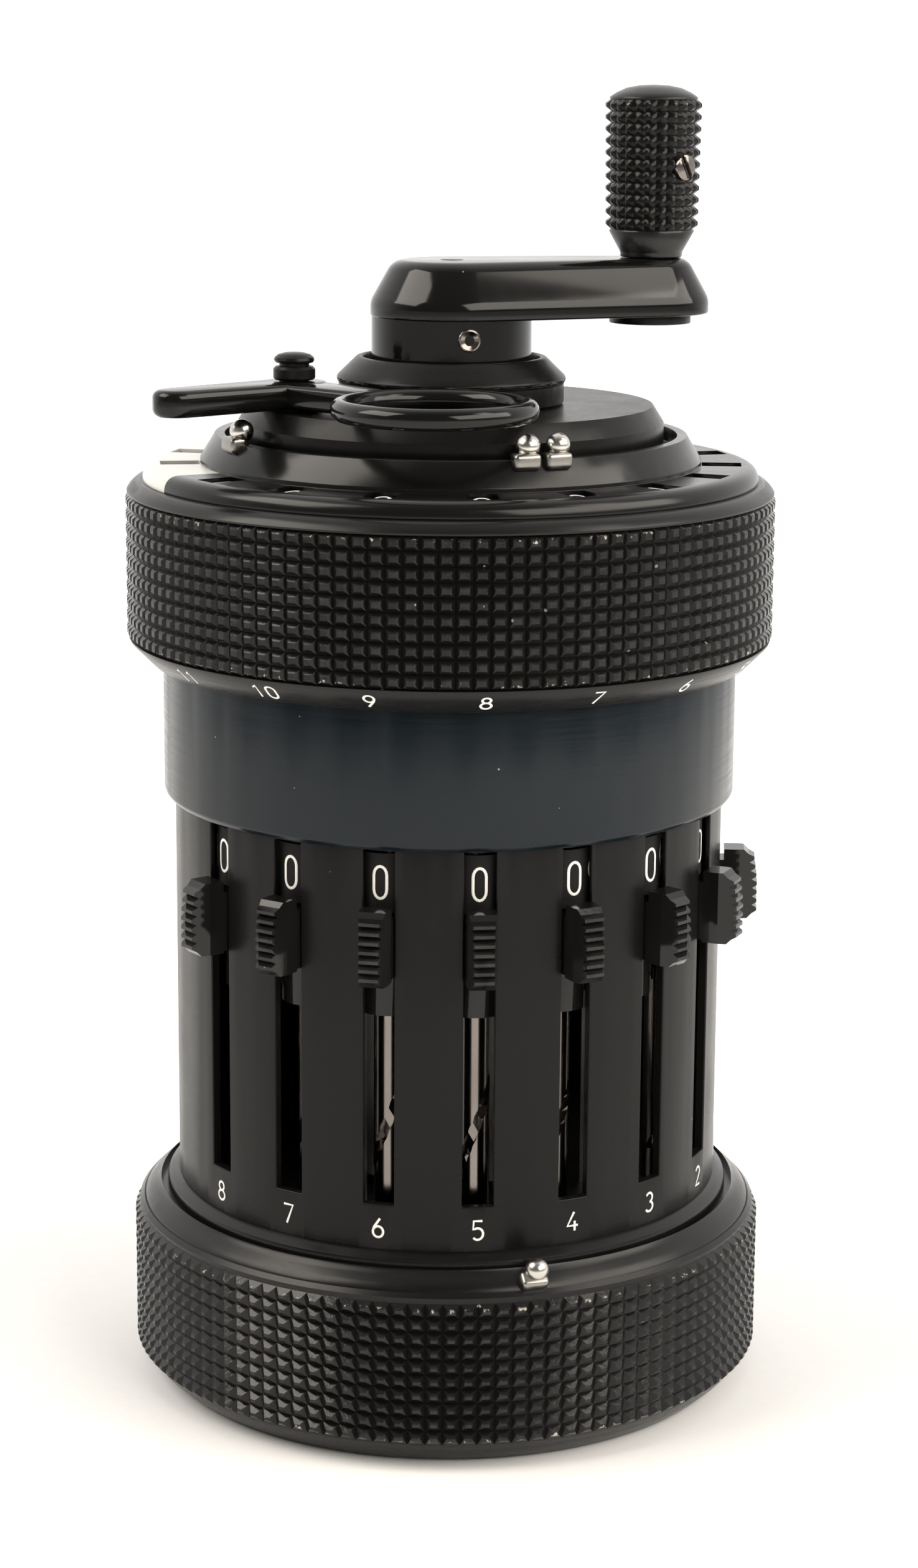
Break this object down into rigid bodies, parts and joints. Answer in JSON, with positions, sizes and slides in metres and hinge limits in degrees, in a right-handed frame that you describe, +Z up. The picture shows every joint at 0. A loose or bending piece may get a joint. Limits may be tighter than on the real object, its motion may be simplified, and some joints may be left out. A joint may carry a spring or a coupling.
{
  "type": "mechanical pocket calculator",
  "caption": "Hand-held cylindrical stepped-drum calculator with setting sliders round a slotted body, a lifting and turning register carriage, a folding clearing ring and a crank.",
  "frame": {"origin": "centre of the flat underside, on the main shaft's axis", "axes": "+Z up along the main shaft; -Y is the front, midway between the fourth and fifth setting sliders; +X is where the crank points at rest"},
  "size_m": [0.053, 0.053, 0.1071],
  "materials": {
    "black_satin": "satin black enamel",
    "black_gloss": "gloss black enamel",
    "slate_enamel": "satin slate blue-grey",
    "steel": "machined steel",
    "bright_metal": "polished nickel",
    "light_alloy": "machined alloy",
    "dial_black": "matt black with printed numerals"
  },
  "bodies": {
    "housing": {"base_ring": "black_satin", "bottom_plate": "black_satin", "body_housing": "black_satin", "collar_band": "slate_enamel", "lower_bearing_plate": "steel", "upper_bearing_plate": "steel", "bearing_tube": "steel", "transmission_shafts": "steel"},
    "base_marker": {"base_marker": "bright_metal"},
    "reversing_lever": {"reversing_lever": "black_satin"},
    "drive_bell": {"tens_bell": "light_alloy"},
    "crank": {"main_shaft": "steel", "stepped_drum": "light_alloy", "crank_arm": "black_gloss", "handle_spindle": "black_satin"},
    "handle": {"handle_knob": "black_satin"},
    "lift_seat": {"spring_seat": "steel"},
    "carriage": {"carriage_spring": "steel", "carriage_ring": "black_satin", "carriage_cover": "black_gloss", "clearing_collar": "black_satin"},
    "clearing": {"clearing_disc": "black_satin", "lever_pivot": "black_satin"},
    "clearing_lever": {"clearing_lever": "black_gloss"},
    "top_marker_1": {"top_marker_1": "bright_metal"},
    "top_marker_2": {"top_marker_2": "bright_metal"},
    "top_marker_3": {"top_marker_3": "bright_metal"},
    "slider_1": {"slider_1": "black_satin"},
    "slider_2": {"slider_2": "black_satin"},
    "slider_3": {"slider_3": "black_satin"},
    "slider_4": {"slider_4": "black_satin"},
    "slider_5": {"slider_5": "black_satin"},
    "slider_6": {"slider_6": "black_satin"},
    "slider_7": {"slider_7": "black_satin"},
    "slider_8": {"slider_8": "black_satin"},
    "setting_shaft_1": {"setting_shaft_1": "bright_metal"},
    "setting_shaft_2": {"setting_shaft_2": "bright_metal"},
    "setting_shaft_3": {"setting_shaft_3": "bright_metal"},
    "setting_shaft_4": {"setting_shaft_4": "bright_metal"},
    "setting_shaft_5": {"setting_shaft_5": "bright_metal"},
    "setting_shaft_6": {"setting_shaft_6": "bright_metal"},
    "setting_shaft_7": {"setting_shaft_7": "bright_metal"},
    "setting_shaft_8": {"setting_shaft_8": "bright_metal"},
    "result_dial_1": {"result_dial_1": "dial_black"},
    "result_dial_2": {"result_dial_2": "dial_black"},
    "result_dial_3": {"result_dial_3": "dial_black"},
    "result_dial_4": {"result_dial_4": "dial_black"},
    "result_dial_5": {"result_dial_5": "dial_black"},
    "result_dial_6": {"result_dial_6": "dial_black"},
    "result_dial_7": {"result_dial_7": "dial_black"},
    "result_dial_8": {"result_dial_8": "dial_black"},
    "result_dial_9": {"result_dial_9": "dial_black"},
    "result_dial_10": {"result_dial_10": "dial_black"},
    "result_dial_11": {"result_dial_11": "dial_black"},
    "counter_dial_1": {"counter_dial_1": "dial_black"},
    "counter_dial_2": {"counter_dial_2": "dial_black"},
    "counter_dial_3": {"counter_dial_3": "dial_black"},
    "counter_dial_4": {"counter_dial_4": "dial_black"},
    "counter_dial_5": {"counter_dial_5": "dial_black"},
    "counter_dial_6": {"counter_dial_6": "dial_black"}
  },
  "joints": [
    {"name": "crank_turn", "type": "hinge", "parent": "housing", "child": "drive_bell", "pos_m": [0, 0, 0.046], "axis": [0, 0, -1], "continuous": true},
    {"name": "crank_lift", "type": "slide", "parent": "drive_bell", "child": "crank", "axis": [0, 0, 1], "range_m": [0, 0.003]},
    {"name": "handle_spin", "type": "hinge", "parent": "crank", "child": "handle", "pos_m": [0.017, 0, 0.1], "axis": [0, 0, 1], "continuous": true},
    {"name": "carriage_lift", "type": "slide", "parent": "housing", "child": "lift_seat", "axis": [0, 0, 1], "range_m": [0, 0.0025], "stiffness_N_per_m": 600, "springref_m": -0.002, "deforming": ["carriage_spring"]},
    {"name": "carriage_turn", "type": "hinge", "parent": "lift_seat", "child": "carriage", "pos_m": [0, 0, 0.07], "axis": [0, 0, 1], "range_deg": [-60, 40]},
    {"name": "clearing_turn", "type": "hinge", "parent": "carriage", "child": "clearing", "pos_m": [0, 0, 0.08], "axis": [0, 0, 1], "continuous": true},
    {"name": "lever_swing", "type": "hinge", "parent": "clearing", "child": "clearing_lever", "pos_m": [-0.0136, -0.00203, 0.083], "axis": [0, 0, -1], "range_deg": [0, 135]},
    {"name": "base_marker_slide", "type": "hinge", "parent": "housing", "child": "base_marker", "pos_m": [0, 0, 0.016], "axis": [0, 0, 1], "range_deg": [-70, 70]},
    {"name": "top_marker_1_slide", "type": "hinge", "parent": "carriage", "child": "top_marker_1", "pos_m": [0, 0, 0.0795], "axis": [0, 0, 1], "range_deg": [-50, 0.6]},
    {"name": "top_marker_2_slide", "type": "hinge", "parent": "carriage", "child": "top_marker_2", "pos_m": [0, 0, 0.0795], "axis": [0, 0, 1], "range_deg": [-0.6, 60]},
    {"name": "top_marker_3_slide", "type": "hinge", "parent": "carriage", "child": "top_marker_3", "pos_m": [0, 0, 0.0795], "axis": [0, 0, 1], "range_deg": [-60, 12]},
    {"name": "reversing_shift", "type": "slide", "parent": "housing", "child": "reversing_lever", "axis": [0, 0, -1], "range_m": [0, 0.004]},
    {"name": "slider_1_set", "type": "slide", "parent": "housing", "child": "slider_1", "axis": [0, 0, -1], "range_m": [0, 0.018]},
    {"name": "slider_2_set", "type": "slide", "parent": "housing", "child": "slider_2", "axis": [0, 0, -1], "range_m": [0, 0.018]},
    {"name": "slider_3_set", "type": "slide", "parent": "housing", "child": "slider_3", "axis": [0, 0, -1], "range_m": [0, 0.018]},
    {"name": "slider_4_set", "type": "slide", "parent": "housing", "child": "slider_4", "axis": [0, 0, -1], "range_m": [0, 0.018]},
    {"name": "slider_5_set", "type": "slide", "parent": "housing", "child": "slider_5", "axis": [0, 0, -1], "range_m": [0, 0.018]},
    {"name": "slider_6_set", "type": "slide", "parent": "housing", "child": "slider_6", "axis": [0, 0, -1], "range_m": [0, 0.018]},
    {"name": "slider_7_set", "type": "slide", "parent": "housing", "child": "slider_7", "axis": [0, 0, -1], "range_m": [0, 0.018]},
    {"name": "slider_8_set", "type": "slide", "parent": "housing", "child": "slider_8", "axis": [0, 0, -1], "range_m": [0, 0.018]},
    {"name": "setting_shaft_1_turn", "type": "hinge", "parent": "housing", "child": "setting_shaft_1", "pos_m": [0.01792, -0.00652, 0.03], "axis": [0, 0, 1], "range_deg": [0, 325]},
    {"name": "setting_shaft_2_turn", "type": "hinge", "parent": "housing", "child": "setting_shaft_2", "pos_m": [0.01461, -0.01226, 0.03], "axis": [0, 0, 1], "range_deg": [0, 325]},
    {"name": "setting_shaft_3_turn", "type": "hinge", "parent": "housing", "child": "setting_shaft_3", "pos_m": [0.00953, -0.01651, 0.03], "axis": [0, 0, 1], "range_deg": [0, 325]},
    {"name": "setting_shaft_4_turn", "type": "hinge", "parent": "housing", "child": "setting_shaft_4", "pos_m": [0.00331, -0.01878, 0.03], "axis": [0, 0, 1], "range_deg": [0, 325]},
    {"name": "setting_shaft_5_turn", "type": "hinge", "parent": "housing", "child": "setting_shaft_5", "pos_m": [-0.00331, -0.01878, 0.03], "axis": [0, 0, 1], "range_deg": [0, 325]},
    {"name": "setting_shaft_6_turn", "type": "hinge", "parent": "housing", "child": "setting_shaft_6", "pos_m": [-0.00953, -0.01651, 0.03], "axis": [0, 0, 1], "range_deg": [0, 325]},
    {"name": "setting_shaft_7_turn", "type": "hinge", "parent": "housing", "child": "setting_shaft_7", "pos_m": [-0.01461, -0.01226, 0.03], "axis": [0, 0, 1], "range_deg": [0, 325]},
    {"name": "setting_shaft_8_turn", "type": "hinge", "parent": "housing", "child": "setting_shaft_8", "pos_m": [-0.01792, -0.00652, 0.03], "axis": [0, 0, 1], "range_deg": [0, 325]},
    {"name": "result_dial_1_turn", "type": "hinge", "parent": "carriage", "child": "result_dial_1", "pos_m": [0, 0, 0.07344], "axis": [0.766, 0.6428, 0], "continuous": true},
    {"name": "result_dial_2_turn", "type": "hinge", "parent": "carriage", "child": "result_dial_2", "pos_m": [0, 0, 0.07344], "axis": [0.9397, 0.342, 0], "continuous": true},
    {"name": "result_dial_3_turn", "type": "hinge", "parent": "carriage", "child": "result_dial_3", "pos_m": [0, 0, 0.07344], "axis": [1, 0, 0], "continuous": true},
    {"name": "result_dial_4_turn", "type": "hinge", "parent": "carriage", "child": "result_dial_4", "pos_m": [0, 0, 0.07344], "axis": [0.9397, -0.342, 0], "continuous": true},
    {"name": "result_dial_5_turn", "type": "hinge", "parent": "carriage", "child": "result_dial_5", "pos_m": [0, 0, 0.07344], "axis": [0.766, -0.6428, 0], "continuous": true},
    {"name": "result_dial_6_turn", "type": "hinge", "parent": "carriage", "child": "result_dial_6", "pos_m": [0, 0, 0.07344], "axis": [0.5, -0.866, 0], "continuous": true},
    {"name": "result_dial_7_turn", "type": "hinge", "parent": "carriage", "child": "result_dial_7", "pos_m": [0, 0, 0.07344], "axis": [0.1736, -0.9848, 0], "continuous": true},
    {"name": "result_dial_8_turn", "type": "hinge", "parent": "carriage", "child": "result_dial_8", "pos_m": [0, 0, 0.07344], "axis": [-0.1736, -0.9848, 0], "continuous": true},
    {"name": "result_dial_9_turn", "type": "hinge", "parent": "carriage", "child": "result_dial_9", "pos_m": [0, 0, 0.07344], "axis": [-0.5, -0.866, 0], "continuous": true},
    {"name": "result_dial_10_turn", "type": "hinge", "parent": "carriage", "child": "result_dial_10", "pos_m": [0, 0, 0.07344], "axis": [-0.766, -0.6428, 0], "continuous": true},
    {"name": "result_dial_11_turn", "type": "hinge", "parent": "carriage", "child": "result_dial_11", "pos_m": [0, 0, 0.07344], "axis": [-0.9397, -0.342, 0], "continuous": true},
    {"name": "counter_dial_1_turn", "type": "hinge", "parent": "carriage", "child": "counter_dial_1", "pos_m": [0, 0, 0.07344], "axis": [-0.9848, 0.1736, 0], "continuous": true},
    {"name": "counter_dial_2_turn", "type": "hinge", "parent": "carriage", "child": "counter_dial_2", "pos_m": [0, 0, 0.07344], "axis": [-0.866, 0.5, 0], "continuous": true},
    {"name": "counter_dial_3_turn", "type": "hinge", "parent": "carriage", "child": "counter_dial_3", "pos_m": [0, 0, 0.07344], "axis": [-0.6428, 0.766, 0], "continuous": true},
    {"name": "counter_dial_4_turn", "type": "hinge", "parent": "carriage", "child": "counter_dial_4", "pos_m": [0, 0, 0.07344], "axis": [-0.342, 0.9397, 0], "continuous": true},
    {"name": "counter_dial_5_turn", "type": "hinge", "parent": "carriage", "child": "counter_dial_5", "pos_m": [0, 0, 0.07344], "axis": [0, 1, 0], "continuous": true},
    {"name": "counter_dial_6_turn", "type": "hinge", "parent": "carriage", "child": "counter_dial_6", "pos_m": [0, 0, 0.07344], "axis": [0.342, 0.9397, 0], "continuous": true}
  ],
  "couplings": [
    {"joint": "setting_shaft_1_turn", "follows": "slider_1_set", "rad_per_m": 314.16},
    {"joint": "setting_shaft_2_turn", "follows": "slider_2_set", "rad_per_m": 314.16},
    {"joint": "setting_shaft_3_turn", "follows": "slider_3_set", "rad_per_m": 314.16},
    {"joint": "setting_shaft_4_turn", "follows": "slider_4_set", "rad_per_m": 314.16},
    {"joint": "setting_shaft_5_turn", "follows": "slider_5_set", "rad_per_m": 314.16},
    {"joint": "setting_shaft_6_turn", "follows": "slider_6_set", "rad_per_m": 314.16},
    {"joint": "setting_shaft_7_turn", "follows": "slider_7_set", "rad_per_m": 314.16},
    {"joint": "setting_shaft_8_turn", "follows": "slider_8_set", "rad_per_m": 314.16}
  ]
}
